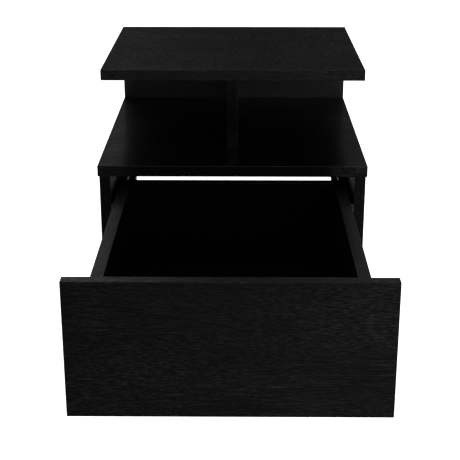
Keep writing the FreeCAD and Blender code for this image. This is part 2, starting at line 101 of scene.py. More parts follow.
# ---- node building -------------------------------------------------------------------------------
class NodeBench:
    """Places and links nodes in one shader tree."""

    def __init__(self, tree: bpy.types.NodeTree) -> None:
        """Takes the tree that the nodes go into."""
        self.tree = tree

    def add(self, kind: str, **settings: object) -> bpy.types.Node:
        """Adds a node.

        Args:
            kind: Blender's node class without the word ShaderNode.
            settings: attributes to set on the node.

        Returns:
            The new node.
        """
        node = self.tree.nodes.new("ShaderNode" + kind)
        for name, value in settings.items():
            setattr(node, name, value)
        count = len(self.tree.nodes)
        node.location = (220 * (count % 10), -260 * (count // 10))
        return node

    def feed(self, socket: bpy.types.NodeSocket, source: Source) -> None:
        """Links a socket to another, or gives it a plain value.

        Args:
            socket: the input socket.
            source: an output socket, a number or a sequence of numbers.
        """
        if isinstance(source, bpy.types.NodeSocket):
            self.tree.links.new(source, socket)
        else:
            socket.default_value = source

    def math(self, operation: str, *sources: Source) -> bpy.types.NodeSocket:
        """A Math node on one to three sources; returns its output."""
        node = self.add("Math", operation=operation)
        for socket, source in zip(node.inputs, sources):
            self.feed(socket, source)
        return node.outputs[0]

    def vector(self, operation: str, *sources: Source) -> bpy.types.NodeSocket:
        """A Vector Math node; returns its number for DOT_PRODUCT and its vector otherwise."""
        node = self.add("VectorMath", operation=operation)
        for socket, source in zip(node.inputs, sources):
            self.feed(socket, source)
        return node.outputs["Value" if operation == "DOT_PRODUCT" else "Vector"]

    def ramp(
        self, source: Source, low: float, high: float, start: Source = 0.0, end: Source = 1.0
    ) -> bpy.types.NodeSocket:
        """Smooth step from start at low to end at high.

        Args:
            source: the value that is mapped.
            low: the value that gives start.
            high: the value that gives end.
            start: result at and under low.
            end: result at and over high.

        Returns:
            The mapped value's socket.
        """
        node = self.add("MapRange", interpolation_type="SMOOTHSTEP")
        names = ("Value", "From Min", "From Max", "To Min", "To Max")
        for name, value in zip(names, (source, low, high, start, end)):
            self.feed(node.inputs[name], value)
        return node.outputs["Result"]

    def noise(
        self, where: Source, scale: Source = 1.0, detail: float = 2.0, rough: float = 0.5
    ) -> bpy.types.Node:
        """Three-dimensional noise.

        Args:
            where: the coordinates it is read at.
            scale: features per metre, unless the coordinates are scaled already.
            detail: octaves.
            rough: share of each finer octave.

        Returns:
            The Noise Texture node.
        """
        node = self.add("TexNoise")
        for name, value in zip(("Vector", "Scale", "Detail", "Roughness"), (where, scale, detail, rough)):
            self.feed(node.inputs[name], value)
        return node

    def mix(self, factor: Source, a: Source, b: Source, kind: str = "RGBA") -> bpy.types.NodeSocket:
        """Blend of a and b.

        Args:
            factor: 0 gives a and 1 gives b.
            a: first colour, vector or number.
            b: second colour, vector or number.
            kind: RGBA, VECTOR or FLOAT.

        Returns:
            The blend's socket.
        """
        node = self.add("Mix", data_type=kind)
        first, result = {"FLOAT": (2, 0), "VECTOR": (4, 1), "RGBA": (6, 2)}[kind]
        self.feed(node.inputs[0], factor)
        self.feed(node.inputs[first], a)
        self.feed(node.inputs[first + 1], b)
        return node.outputs[result]

    def place(self, effect: bpy.types.NodeTree, **values: Source) -> bpy.types.Node:
        """Puts a shared effect into this tree.

        Args:
            effect: the effect's node group.
            values: its inputs by name, with _ for each space.

        Returns:
            The group node.
        """
        node = self.add("Group", node_tree=effect)
        for name, value in values.items():
            self.feed(node.inputs[name.replace("_", " ")], value)
        return node


class Effect:
    """A shader effect that several finishes share, built once as a node group."""

    def __init__(self, name: str, inputs: dict[str, Union[float, tuple]], outputs: dict[str, str]) -> None:
        """Makes the group and its sockets.

        Args:
            name: the group's name.
            inputs: default value of each input; a tuple makes a vector socket.
            outputs: Float, Vector or Color for each output.
        """
        self.tree = bpy.data.node_groups.new(name, "ShaderNodeTree")
        for label, value in inputs.items():
            kind = "NodeSocketVector" if isinstance(value, tuple) else "NodeSocketFloat"
            socket = self.tree.interface.new_socket(label, in_out="INPUT", socket_type=kind)
            socket.default_value = value
        for label, kind in outputs.items():
            self.tree.interface.new_socket(label, in_out="OUTPUT", socket_type="NodeSocket" + kind)
        self.bench = NodeBench(self.tree)
        self.entry = self.tree.nodes.new("NodeGroupInput").outputs
        self.exit = self.tree.nodes.new("NodeGroupOutput").inputs

    def give(self, label: str, source: bpy.types.NodeSocket) -> None:
        """Links a result to the group's output of that name."""
        self.bench.feed(self.exit[label], source)


# ---- shared effects ------------------------------------------------------------------------------
# Features per metre of each pattern, along the grain and across it
DRIFT_PER_METRE = (26.0, 60.0, 60.0)
CALM_PER_METRE = (2.5, 22.0, 22.0)
PATCHES_PER_METRE = (5.0, 14.0, 14.0)
WEAR_PER_METRE = 95.0
FIBRES_PER_METRE = 2600.0
SPECKS_PER_METRE = 1400.0
STREAKS_PER_METRE = 30.0
LONG_STREAK = (0.2, 1.1, 1.1)  # long ridges' frequency as a share of the pores'
LONG_SHARE = 0.45  # most that the long ridges take over where the grain is calm
SWAY_LEFT = 1.1  # waviness factor where the grain isn't calm
CHIP_SQUASH = (0.45, 1.0, 1.0)  # chips lie along the board
FIBRE_SHARE = 0.35  # part of a chip's tone that its fibres give
FACING = 0.5  # a surface counts as facing an axis above this cosine
FACING_STRICT = 0.7
EVEN_FINE: Point = (40.0, 40.0, 40.0)  # stretch of a skin with no direction
EVEN_COARSE: Point = (30.0, 30.0, 30.0)
BEECH_GRAIN: Point = (30.0, 30.0, 6.0)


def build_wood_pores() -> bpy.types.NodeTree:
    """Embossed wood pores that run along the first coordinate, wavy in places and straight in others."""
    effect = Effect(
        "wood_pores",
        {"Coordinates": (0.0, 0.0, 0.0), "Pore Length": 0.006, "Pore Width": 0.0011, "Waviness": 0.004},
        {"Pores": "Float", "Height": "Float"},
    )
    bench, entry = effect.bench, effect.entry
    where = entry["Coordinates"]
    drift = bench.noise(bench.vector("MULTIPLY", where, DRIFT_PER_METRE), detail=3.0).outputs["Color"]
    drift = bench.vector("SUBTRACT", drift, (0.5, 0.5, 0.5))
    calm = bench.noise(bench.vector("MULTIPLY", where, CALM_PER_METRE)).outputs["Fac"]
    calm = bench.ramp(calm, 0.42, 0.6)
    sway = bench.math("MULTIPLY", entry["Waviness"], bench.math("SUBTRACT", SWAY_LEFT, calm))
    shift = bench.add("VectorMath", operation="SCALE")
    bench.feed(shift.inputs[0], drift)
    bench.feed(shift.inputs["Scale"], sway)
    warped = bench.vector("ADD", where, shift.outputs["Vector"])
    stretch = bench.add("CombineXYZ")
    fine = bench.math("DIVIDE", 1.0, entry["Pore Width"])
    bench.feed(stretch.inputs[0], bench.math("DIVIDE", 1.0, entry["Pore Length"]))
    bench.feed(stretch.inputs[1], fine)
    bench.feed(stretch.inputs[2], fine)
    scaled = bench.vector("MULTIPLY", warped, stretch.outputs[0])
    short = bench.noise(scaled, detail=3.0, rough=0.6).outputs["Fac"]
    long = bench.noise(bench.vector("MULTIPLY", scaled, LONG_STREAK), detail=2.0).outputs["Fac"]
    grain = bench.mix(bench.math("MULTIPLY", calm, LONG_SHARE), short, long, "FLOAT")
    patch = bench.noise(bench.vector("MULTIPLY", where, PATCHES_PER_METRE)).outputs["Fac"]
    patch = bench.ramp(patch, 0.36, 0.62, 0.5, 1.0)
    ridges = bench.math("MULTIPLY", bench.ramp(grain, 0.485, 0.61), patch)
    effect.give("Pores", bench.math("SUBTRACT", 1.0, ridges))
    effect.give("Height", ridges)
    return effect.tree


def build_arris_wear_and_highlight() -> bpy.types.NodeTree:
    """Wear along the arrises of a box-shaped piece, broken up by noise, which the finishes also use as a
    painted highlight on the arris.
    """
    effect = Effect(
        "arris_wear_and_highlight",
        {"Centre": (0.0, 0.0, 0.0), "Half Size": (0.1, 0.1, 0.1), "Width": 0.0012},
        {"Arris": "Float", "Wear": "Float"},
    )
    bench, entry = effect.bench, effect.entry
    where = bench.add("TexCoord").outputs["Object"]
    inward = bench.vector("ABSOLUTE", bench.vector("SUBTRACT", where, entry["Centre"]))
    depth = bench.add("SeparateXYZ")
    bench.feed(depth.inputs[0], bench.vector("SUBTRACT", entry["Half Size"], inward))
    x, y, z = depth.outputs
    smaller = bench.math("MINIMUM", x, y)
    larger = bench.math("MAXIMUM", x, y)
    second = bench.math("MAXIMUM", smaller, bench.math("MINIMUM", larger, z))
    near = bench.math("DIVIDE", second, entry["Width"])
    arris = bench.ramp(near, 0.25, 1.0, 1.0, 0.0)
    broken = bench.ramp(bench.noise(where, WEAR_PER_METRE, 4.0, 0.65).outputs["Fac"], 0.4, 0.72)
    effect.give("Arris", arris)
    effect.give("Wear", bench.math("MULTIPLY", arris, broken))
    return effect.tree


def build_board_face() -> bpy.types.NodeTree:
    """Tells a board's laminated faces from its raw core by the way that the surface faces."""
    effect = Effect("board_face", {"Thickness Axis": (0.0, 0.0, 1.0)}, {"Face": "Float"})
    bench, entry = effect.bench, effect.entry
    normal = bench.add("TexCoord").outputs["Normal"]
    facing = bench.math("ABSOLUTE", bench.vector("DOT_PRODUCT", normal, entry["Thickness Axis"]))
    effect.give("Face", bench.math("GREATER_THAN", facing, FACING))
    return effect.tree


def build_strip_grain() -> bpy.types.NodeTree:
    """Coordinates that run along each taped edge, whichever way the edge faces."""
    axes = {"X Facing": (0.0, 1.0, 0.0), "Y Facing": (1.0, 0.0, 0.0), "Z Facing": (1.0, 0.0, 0.0)}
    effect = Effect("strip_grain", axes, {"Coordinates": "Vector"})
    bench, entry = effect.bench, effect.entry
    place = bench.add("TexCoord")
    facing = bench.add("SeparateXYZ")
    bench.feed(facing.inputs[0], bench.vector("ABSOLUTE", place.outputs["Normal"]))
    is_x = bench.math("GREATER_THAN", facing.outputs[0], FACING_STRICT)
    is_y = bench.math("GREATER_THAN", facing.outputs[1], FACING_STRICT)
    axis = bench.mix(is_x, entry["Z Facing"], entry["X Facing"], "VECTOR")
    axis = bench.mix(is_y, axis, entry["Y Facing"], "VECTOR")
    along = bench.vector("DOT_PRODUCT", place.outputs["Object"], axis)
    rest = bench.vector("SUBTRACT", (1.0, 1.0, 1.0), axis)
    across = bench.vector("DOT_PRODUCT", place.outputs["Object"], rest)
    joined = bench.add("CombineXYZ")
    bench.feed(joined.inputs[0], along)
    bench.feed(joined.inputs[1], across)
    effect.give("Coordinates", joined.outputs[0])
    return effect.tree


def build_pressed_chips() -> bpy.types.NodeTree:
    """Raw particle board: pale and brown wood chips pressed together, with dark gaps."""
    outputs = {"Chips": "Float", "Gaps": "Float", "Height": "Float"}
    effect = Effect("pressed_chips", {"Chip Size": 0.0016}, outputs)
    bench, entry = effect.bench, effect.entry
    where = bench.add("TexCoord").outputs["Object"]
    scale = bench.math("DIVIDE", 1.0, entry["Chip Size"])
    cells = bench.add("TexVoronoi", feature="F1")
    bench.feed(cells.inputs["Vector"], bench.vector("MULTIPLY", where, CHIP_SQUASH))
    bench.feed(cells.inputs["Scale"], scale)
    tone = bench.add("SeparateXYZ")
    bench.feed(tone.inputs[0], cells.outputs["Color"])
    fine = bench.noise(where, FIBRES_PER_METRE, 3.0, 0.6).outputs["Fac"]
    effect.give("Chips", bench.mix(FIBRE_SHARE, tone.outputs[0], fine, "FLOAT"))
    effect.give("Gaps", bench.ramp(cells.outputs["Distance"], 0.45, 0.8))
    effect.give("Height", bench.math("SUBTRACT", fine, cells.outputs["Distance"]))
    return effect.tree


def build_handling() -> bpy.types.NodeTree:
    """Faint smudges and dust: slow changes of gloss and tone over a surface."""
    effect = Effect("handling", {"Patch Size": 0.06}, {"Smudge": "Float", "Dust": "Float"})
    bench, entry = effect.bench, effect.entry
    where = bench.add("TexCoord").outputs["Object"]
    scale = bench.math("DIVIDE", 1.0, entry["Patch Size"])
    broad = bench.noise(where, scale, 3.0).outputs["Fac"]
    specks = bench.noise(where, SPECKS_PER_METRE, 1.0).outputs["Fac"]
    effect.give("Smudge", bench.ramp(broad, 0.35, 0.7))
    effect.give("Dust", bench.ramp(specks, 0.66, 0.78))
    return effect.tree


def build_rolled_metal() -> bpy.types.NodeTree:
    """Rolling streaks along one axis, plating blotches and fine scratches of a metal skin."""
    effect = Effect(
        "rolled_metal",
        {"Stretch": (60.0, 4.0, 60.0), "Blotch Size": 0.004},
        {"Streaks": "Float", "Blotches": "Float", "Height": "Float"},
    )
    bench, entry = effect.bench, effect.entry
    where = bench.add("TexCoord").outputs["Object"]
    stretched = bench.vector("MULTIPLY", where, entry["Stretch"])
    streaks = bench.noise(stretched, STREAKS_PER_METRE, 4.0, 0.6).outputs["Fac"]
    scale = bench.math("DIVIDE", 1.0, entry["Blotch Size"])
    cells = bench.add("TexVoronoi", feature="SMOOTH_F1")
    bench.feed(cells.inputs["Vector"], where)
    bench.feed(cells.inputs["Scale"], scale)
    effect.give("Streaks", streaks)
    effect.give("Blotches", bench.ramp(cells.outputs["Distance"], 0.2, 0.8))
    effect.give("Height", streaks)
    return effect.tree


@dataclass(frozen=True)
class Effects:
    """The node groups that the finishes share."""

    wood_pores: bpy.types.NodeTree = field(default_factory=build_wood_pores)
    arris_wear_and_highlight: bpy.types.NodeTree = field(default_factory=build_arris_wear_and_highlight)
    board_face: bpy.types.NodeTree = field(default_factory=build_board_face)
    strip_grain: bpy.types.NodeTree = field(default_factory=build_strip_grain)
    pressed_chips: bpy.types.NodeTree = field(default_factory=build_pressed_chips)
    handling: bpy.types.NodeTree = field(default_factory=build_handling)
    rolled_metal: bpy.types.NodeTree = field(default_factory=build_rolled_metal)


# ---- finishes ------------------------------------------------------------------------------------
BOARD_SHIFT = (1.0, 0.37, 0.61)
TAPE_SHIFT = (1.0, 0.43, 0.71)


def pattern_shift(seed: float, along: Point) -> Point:
    """Moves a pattern along all three axes, so that no two pieces match.

    Args:
        seed: the piece's own number.
        along: how far one unit of it moves the pattern along each axis.

    Returns:
        The shift.
    """
    return (seed * along[0], seed * along[1], seed * along[2])


@dataclass(frozen=True)
class Surface:
    """A new material with its bench and its Principled shader."""

    material: bpy.types.Material
    bench: NodeBench
    shader: bpy.types.Node

    @staticmethod
    def named(name: str) -> "Surface":
        """A fresh node material of that name."""
        material = bpy.data.materials.new(name)
        material.use_nodes = True
        nodes = material.node_tree.nodes
        return Surface(material, NodeBench(material.node_tree), nodes["Principled BSDF"])

    def drive(self, label: str, source: Source) -> None:
        """Links or sets one of the shader's inputs."""
        self.bench.feed(self.shader.inputs[label], source)

    def emboss(self, height: bpy.types.NodeSocket, distance: float, strength: float = 1.0) -> None:
        """Adds a bump.

        Args:
            height: the height's socket, 0 to 1.
            distance: depth of the relief in metres.
            strength: share of the relief that shows.
        """
        bump = self.bench.add("Bump")
        self.bench.feed(bump.inputs["Height"], height)
        self.bench.feed(bump.inputs["Distance"], distance)
        self.bench.feed(bump.inputs["Strength"], strength)
        self.drive("Normal", bump.outputs["Normal"])


@dataclass(frozen=True)
class Block:
    """Box that a piece fills: its centre and half size, in metres."""

    centre: Point
    half: Point

    @staticmethod
    def around(*nodes: str) -> "Block":
        """The box around some CAD nodes."""
        boxes = [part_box(node) for node in nodes]
        low = [min(b[0][i] for b in boxes) for i in range(3)]
        high = [max(b[1][i] for b in boxes) for i in range(3)]
        centre = tuple((a + b) / 2 for a, b in zip(low, high))
        half = tuple((b - a) / 2 for a, b in zip(low, high))
        return Block(centre, half)

    def longest(self, without: Axis) -> Point:
        """Direction of the longest side of the faces that look along an axis."""
        others = [axis for axis in Axis if axis is not without]
        return max(others, key=lambda axis: self.half[axis.index]).value


@dataclass(frozen=True)
class BlackWood:
    """Black melamine with embossed wood pores on the faces of a chipboard core."""

    ground: Colour = grey(0.0003, -0.1)
    ridge: Colour = grey(0.0012, -0.08)
    # Tone of rubbed spots and dust; on the arrises it also serves as a painted highlight
    worn_and_highlight: Colour = grey(0.012)
    chip_pale: Colour = (0.30, 0.19, 0.10, 1.0)
    chip_dark: Colour = (0.10, 0.055, 0.028, 1.0)
    pore_length: float = 0.0075
    pore_width: float = 0.0006
    waviness: float = 0.0009
    relief: float = 0.00016
    gloss: float = 0.34
    dull: float = 0.5
    core_dull: float = 0.92
    specular: float = 0.03
    film_on_ridge: float = 1.0
    film_in_pore: float = 0.26
    film_gloss: float = 0.2
    wear_width: float = 0.0011
    wear_and_highlight_share: float = 0.5
    # Share of the arris wear, which is partly real rubbing and partly a painted highlight
    dust_share: float = 0.1
    gap_share: float = 0.7
    smudge_dulling: float = 0.05
    arris_polish: float = 0.08

    def dress(
        self, name: str, effects: Effects, block: Block, thickness: Axis, grain: Axis, seed: float
    ) -> bpy.types.Material:
        """Makes the material of one board.

        Args:
            name: the material's name.
            effects: the shared node groups.
            block: the board's box.
            thickness: axis across the board.
            grain: axis that the grain follows.
            seed: offset of the pattern along the grain, so that no two boards match.

        Returns:
            The material.
        """
        surface = Surface.named(name)
        bench = surface.bench
        split = bench.add("SeparateXYZ")
        bench.feed(split.inputs[0], bench.add("TexCoord").outputs["Object"])
        order = [grain.index] + [axis.index for axis in Axis if axis is not grain]
        joined = bench.add("CombineXYZ")
        for socket, index in zip(joined.inputs, order):
            bench.feed(socket, split.outputs[index])
        where = bench.vector("ADD", joined.outputs[0], pattern_shift(seed, BOARD_SHIFT))
        pores = bench.place(
            effects.wood_pores,
            Coordinates=where,
            Pore_Length=self.pore_length,
            Pore_Width=self.pore_width,
            Waviness=self.waviness,
        )
        face = bench.place(effects.board_face, Thickness_Axis=thickness.value).outputs["Face"]
        edge = bench.place(
            effects.arris_wear_and_highlight,
            Centre=block.centre,
            Half_Size=block.half,
            Width=self.wear_width,
        )
        marks = bench.place(effects.handling)
        chips = bench.place(effects.pressed_chips)
        laminate = bench.mix(pores.outputs["Pores"], self.ridge, self.ground)
        # Arris wear lightens the laminate: partly real rubbing, partly a painted highlight along the edge
        wear_and_highlight = bench.math("MULTIPLY", edge.outputs["Wear"], self.wear_and_highlight_share)
        laminate = bench.mix(wear_and_highlight, laminate, self.worn_and_highlight)
        dusty = bench.math("MULTIPLY", marks.outputs["Dust"], self.dust_share)
        laminate = bench.mix(dusty, laminate, self.worn_and_highlight)
        core = bench.mix(chips.outputs["Chips"], self.chip_dark, self.chip_pale)
        gaps = bench.math("MULTIPLY", chips.outputs["Gaps"], self.gap_share)
        core = bench.mix(gaps, core, self.chip_dark)
        surface.drive("Base Color", bench.mix(face, core, laminate))
        matt = bench.mix(pores.outputs["Pores"], self.gloss, self.dull, "FLOAT")
        smudged = bench.math("MULTIPLY", marks.outputs["Smudge"], self.smudge_dulling)
        polished = bench.math("MULTIPLY", edge.outputs["Arris"], self.arris_polish)
        matt = bench.math("SUBTRACT", bench.math("ADD", matt, smudged), polished)
        surface.drive("Roughness", bench.mix(face, self.core_dull, matt, "FLOAT"))
        surface.drive("Specular IOR Level", self.specular)
        film = bench.mix(pores.outputs["Pores"], self.film_on_ridge, self.film_in_pore, "FLOAT")
        surface.drive("Coat Weight", bench.math("MULTIPLY", film, face))
        surface.drive("Coat Roughness", self.film_gloss)
        height = bench.mix(face, chips.outputs["Height"], pores.outputs["Height"], "FLOAT")
        surface.emboss(height, self.relief)
        return surface.material


@dataclass(frozen=True)
class EdgeTape:
    """Black edge tape: the same grain a little browner, printed along the edge."""

    ground: Colour = (0.0026, 0.0018, 0.0019, 1.0)
    ridge: Colour = (0.0045, 0.0033, 0.0034, 1.0)
    # The worn tone also paints a highlight along the tape's arrises
    worn_and_highlight: Colour = (0.017, 0.0145, 0.014, 1.0)
    pore_length: float = 0.009
    pore_width: float = 0.0008
    waviness: float = 0.0008
    relief: float = 0.00014
    gloss: float = 0.34
    dull: float = 0.48
    specular: float = 0.03
    film_on_ridge: float = 0.68
    film_in_pore: float = 0.2
    film_gloss: float = 0.2
    wear_width: float = 0.0009
    wear_and_highlight_share: float = 0.4
    # Share of the painted highlight: the whole arris lightened towards the worn tone
    arris_highlight_share: float = 0.3
    smudge_dulling: float = 0.05
    arris_polish: float = 0.1

    def dress(self, name: str, effects: Effects, block: Block, seed: float) -> bpy.types.Material:
        """Makes the material of one board's taped edges.

        Args:
            name: the material's name.
            effects: the shared node groups.
            block: the board's box, tape included.
            seed: offset of the pattern.

        Returns:
            The material.
        """
        surface = Surface.named(name)
        bench = surface.bench
        strip = bench.place(
            effects.strip_grain,
            X_Facing=block.longest(Axis.X),
            Y_Facing=block.longest(Axis.Y),
            Z_Facing=block.longest(Axis.Z),
        )
        where = bench.vector("ADD", strip.outputs["Coordinates"], pattern_shift(seed, TAPE_SHIFT))
        pores = bench.place(
            effects.wood_pores,
            Coordinates=where,
            Pore_Length=self.pore_length,
            Pore_Width=self.pore_width,
            Waviness=self.waviness,
        )
        edge = bench.place(
            effects.arris_wear_and_highlight,
            Centre=block.centre,
            Half_Size=block.half,
            Width=self.wear_width,
        )
        marks = bench.place(effects.handling)
        tone = bench.mix(pores.outputs["Pores"], self.ridge, self.ground)
        # Rubbed spots are partly real wear and partly painted highlight; the arris line added to them is
        # painted highlight
        wear_and_highlight_spots = bench.math("MULTIPLY", edge.outputs["Wear"], self.wear_and_highlight_share)
        painted_arris_highlight = bench.math("MULTIPLY", edge.outputs["Arris"], self.arris_highlight_share)
        wear_and_highlight = bench.math("ADD", wear_and_highlight_spots, painted_arris_highlight)
        surface.drive("Base Color", bench.mix(wear_and_highlight, tone, self.worn_and_highlight))
        matt = bench.mix(pores.outputs["Pores"], self.gloss, self.dull, "FLOAT")
        smudged = bench.math("MULTIPLY", marks.outputs["Smudge"], self.smudge_dulling)
        polished = bench.math("MULTIPLY", edge.outputs["Arris"], self.arris_polish)
        surface.drive("Roughness", bench.math("SUBTRACT", bench.math("ADD", matt, smudged), polished))
        surface.drive("Specular IOR Level", self.specular)
        film = bench.mix(pores.outputs["Pores"], self.film_on_ridge, self.film_in_pore, "FLOAT")
        surface.drive("Coat Weight", film)
        surface.drive("Coat Roughness", self.film_gloss)
        surface.emboss(pores.outputs["Height"], self.relief)
        return surface.material


@dataclass(frozen=True)
class Hardboard:
    """Thin hardboard: black paper on top and brown pressed fibre underneath and at its edges."""

    paper: Colour = grey(0.0006, -0.03)
    fibre_pale: Colour = (0.16, 0.085, 0.04, 1.0)
    fibre_dark: Colour = (0.07, 0.035, 0.018, 1.0)
    chip_size: float = 0.0007
    dust_share: float = 0.2
    paper_dull: float = 0.55
    fibre_dull: float = 0.9
    smudge_dulling: float = 0.1
    specular: float = 0.05
    relief: float = 0.00008

    def dress(self, name: str, effects: Effects) -> bpy.types.Material:
        """Makes the material of a hardboard sheet.

        Args:
            name: the material's name.
            effects: the shared node groups.

        Returns:
            The material.
        """
        surface = Surface.named(name)
        bench = surface.bench
        place = bench.add("TexCoord")
        facing = bench.vector("DOT_PRODUCT", place.outputs["Normal"], (0.0, 0.0, 1.0))
        top = bench.math("GREATER_THAN", facing, FACING)
        chips = bench.place(effects.pressed_chips, Chip_Size=self.chip_size)
        marks = bench.place(effects.handling)
        fibre = bench.mix(chips.outputs["Chips"], self.fibre_dark, self.fibre_pale)
        dusty = bench.math("MULTIPLY", marks.outputs["Dust"], self.dust_share)
        paper = bench.mix(dusty, self.paper, self.fibre_dark)
        surface.drive("Base Color", bench.mix(top, fibre, paper))
        smudged = bench.math("MULTIPLY", marks.outputs["Smudge"], self.smudge_dulling)
        matt = bench.math("ADD", self.paper_dull, smudged)
        surface.drive("Roughness", bench.mix(top, self.fibre_dull, matt, "FLOAT"))
        surface.drive("Specular IOR Level", self.specular)
        surface.emboss(chips.outputs["Height"], self.relief, 0.5)
        return surface.material


@dataclass(frozen=True)
class Metal:
    """A metal skin: rolled, plated or cast, by its tones, streaks and gloss."""

    pale: Colour
    dark: Colour
    gloss: float
    dull: float
    relief: float
    stretch: Point = (60.0, 4.0, 60.0)
    blotch: float = 0.004
    smudge_size: float = 0.02
    smudge_dulling: float = 0.08

    def dress(self, name: str, effects: Effects) -> bpy.types.Material:
        """Makes the material.

        Args:
            name: the material's name.
            effects: the shared node groups.

        Returns:
            The material.
        """
        surface = Surface.named(name)
        bench = surface.bench
        skin = bench.place(effects.rolled_metal, Stretch=self.stretch, Blotch_Size=self.blotch)
        marks = bench.place(effects.handling, Patch_Size=self.smudge_size)
        tone = bench.mix(0.5, skin.outputs["Streaks"], skin.outputs["Blotches"], "FLOAT")
        surface.drive("Base Color", bench.mix(bench.ramp(tone, 0.3, 0.75), self.pale, self.dark))
        matt = bench.mix(skin.outputs["Blotches"], self.gloss, self.dull, "FLOAT")
        smudged = bench.math("MULTIPLY", marks.outputs["Smudge"], self.smudge_dulling)
        surface.drive("Roughness", bench.math("ADD", matt, smudged))
        surface.drive("Metallic", 1.0)
        surface.emboss(skin.outputs["Height"], self.relief, 0.6)
        return surface.material


@dataclass(frozen=True)
class Moulded:
    """Moulded plastic, rubber or turned wood: a toned body with fine pits or fibres."""

    light: Colour
    dark: Colour
    gloss: float
    dull: float
    relief: float
    stretch: Point = EVEN_FINE
    blotch: float = 0.0015
    smudge_size: float = 0.01
    smudge_dulling: float = 0.08

    def dress(self, name: str, effects: Effects) -> bpy.types.Material:
        """Makes the material.

        Args:
            name: the material's name.
            effects: the shared node groups.

        Returns:
            The material.
        """
        surface = Surface.named(name)
        bench = surface.bench
        skin = bench.place(effects.rolled_metal, Stretch=self.stretch, Blotch_Size=self.blotch)
        marks = bench.place(effects.handling, Patch_Size=self.smudge_size)
        tone = bench.ramp(skin.outputs["Streaks"], 0.3, 0.7)
        surface.drive("Base Color", bench.mix(tone, self.light, self.dark))
        matt = bench.mix(skin.outputs["Streaks"], self.gloss, self.dull, "FLOAT")
        smudged = bench.math("MULTIPLY", marks.outputs["Smudge"], self.smudge_dulling)
        surface.drive("Roughness", bench.math("ADD", matt, smudged))
        surface.emboss(skin.outputs["Height"], self.relief, 0.7)
        return surface.material


class Finish(Enum):
    """The plain finishes of the fittings."""

    # Painted shade: the slide members' steel is toned far darker than the same pressed steel of the
    # tongues, to stand in for the shade they lie in
    SLIDE_STEEL = Metal((0.13, 0.13, 0.127, 1), (0.085, 0.085, 0.084, 1), 0.24, 0.34, 0.00003)
    TONGUE_STEEL = Metal((0.62, 0.62, 0.60, 1), (0.44, 0.44, 0.43, 1), 0.24, 0.38, 0.00003)
    CAGE_STEEL = Metal((0.30, 0.29, 0.27, 1), (0.18, 0.17, 0.15, 1), 0.3, 0.42, 0.00003)
    BALL_STEEL = Metal((0.72, 0.72, 0.72, 1), (0.62, 0.62, 0.63, 1), 0.08, 0.16, 0.00001, EVEN_FINE, 0.002)
    CAM_ZINC = Metal((0.52, 0.52, 0.51, 1), (0.36, 0.36, 0.36, 1), 0.38, 0.5, 0.00006, EVEN_COARSE, 0.0015)
    SCREW_STEEL = Metal((0.58, 0.58, 0.55, 1), (0.42, 0.42, 0.40, 1), 0.26, 0.38, 0.00003, EVEN_FINE, 0.002)
    LEVER_PLASTIC = Moulded((0.011, 0.011, 0.012, 1), (0.007, 0.007, 0.008, 1), 0.36, 0.5, 0.00004)
    BUFFER_RUBBER = Moulded((0.016, 0.016, 0.016, 1), (0.009, 0.009, 0.009, 1), 0.66, 0.8, 0.00006)
    BEECH = Moulded((0.50, 0.33, 0.19, 1), (0.36, 0.22, 0.12, 1), 0.62, 0.75, 0.0001, BEECH_GRAIN)


def coat(node: str, material: bpy.types.Material) -> None:
    """Gives a CAD node one material on all its faces.

    Args:
        node: the node's name.
        material: its new material.
    """
    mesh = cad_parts[node].data
    mesh.materials.clear()
    mesh.materials.append(material)
    LOG.info("dressed %s with %s", node, material.name)


@dataclass(frozen=True)
class RaceStop:
    """A small piece that ends a ball race, by its outline and its edge radius, in millimetres.

    The outline's points give the way from the member's end and the depth below its flange.
    """

    outline: tuple[Span, ...]
    radius: float

    def build(self, name: str, ends: Span, flanges: Span, span: Span) -> bpy.types.Object:
        """Builds one stop under the upper flange and its mirror image over the lower one.

        Args:
            name: the piece's name.
            ends: y of the member's end, and 1 or -1 for the way into the member.
            flanges: z of the lower and the upper flange's inner face.
            span: x of the stop's two sides.

        Returns:
            The new piece.
        """
        mesh_data = bpy.data.meshes.new(name)
        shell = bmesh.new()
        end, way = ends
        for flange, down in zip(flanges, (1.0, -1.0)):
            points = [
                (span[0], end + way * along * MILLIMETRE, flange + down * deep * MILLIMETRE)
                for along, deep in self.outline
            ]
            face = shell.faces.new([shell.verts.new(point) for point in points])
            pulled = bmesh.ops.extrude_face_region(shell, geom=[face])["geom"]
            moved = [item for item in pulled if isinstance(item, bmesh.types.BMVert)]
            bmesh.ops.translate(shell, verts=moved, vec=(span[1] - span[0], 0.0, 0.0))
        bmesh.ops.bevel(
            shell,
            geom=shell.edges[:],
            offset=self.radius * MILLIMETRE,
            segments=BEVEL_STEPS,
            affect="EDGES",
            profile=0.5,
            clamp_overlap=True,
        )
        bmesh.ops.recalc_face_normals(shell, faces=shell.faces[:])
        shell.to_mesh(mesh_data)
        shell.free()
        piece = bpy.data.objects.new(name, mesh_data)
        bpy.context.scene.collection.objects.link(piece)
        return piece


PRESSED_TONGUE = RaceStop(((1.2, -0.1), (1.6, 3.2), (2.4, 4.2), (4.0, 4.2), (4.8, 3.2), (5.2, -0.1)), 0.35)
COMB_BUMPER = RaceStop(
    (
        (1.5, -0.1), (1.5, 3.6), (2.1, 4.2), (3.0, 4.2), (3.4, 2.0), (4.2, 2.0), (4.6, 4.2),
        (5.8, 4.2), (6.2, 2.0), (7.0, 2.0), (7.4, 4.2), (8.8, 4.2), (9.6, 3.6), (9.6, -0.1),
    ),
    0.16,
)


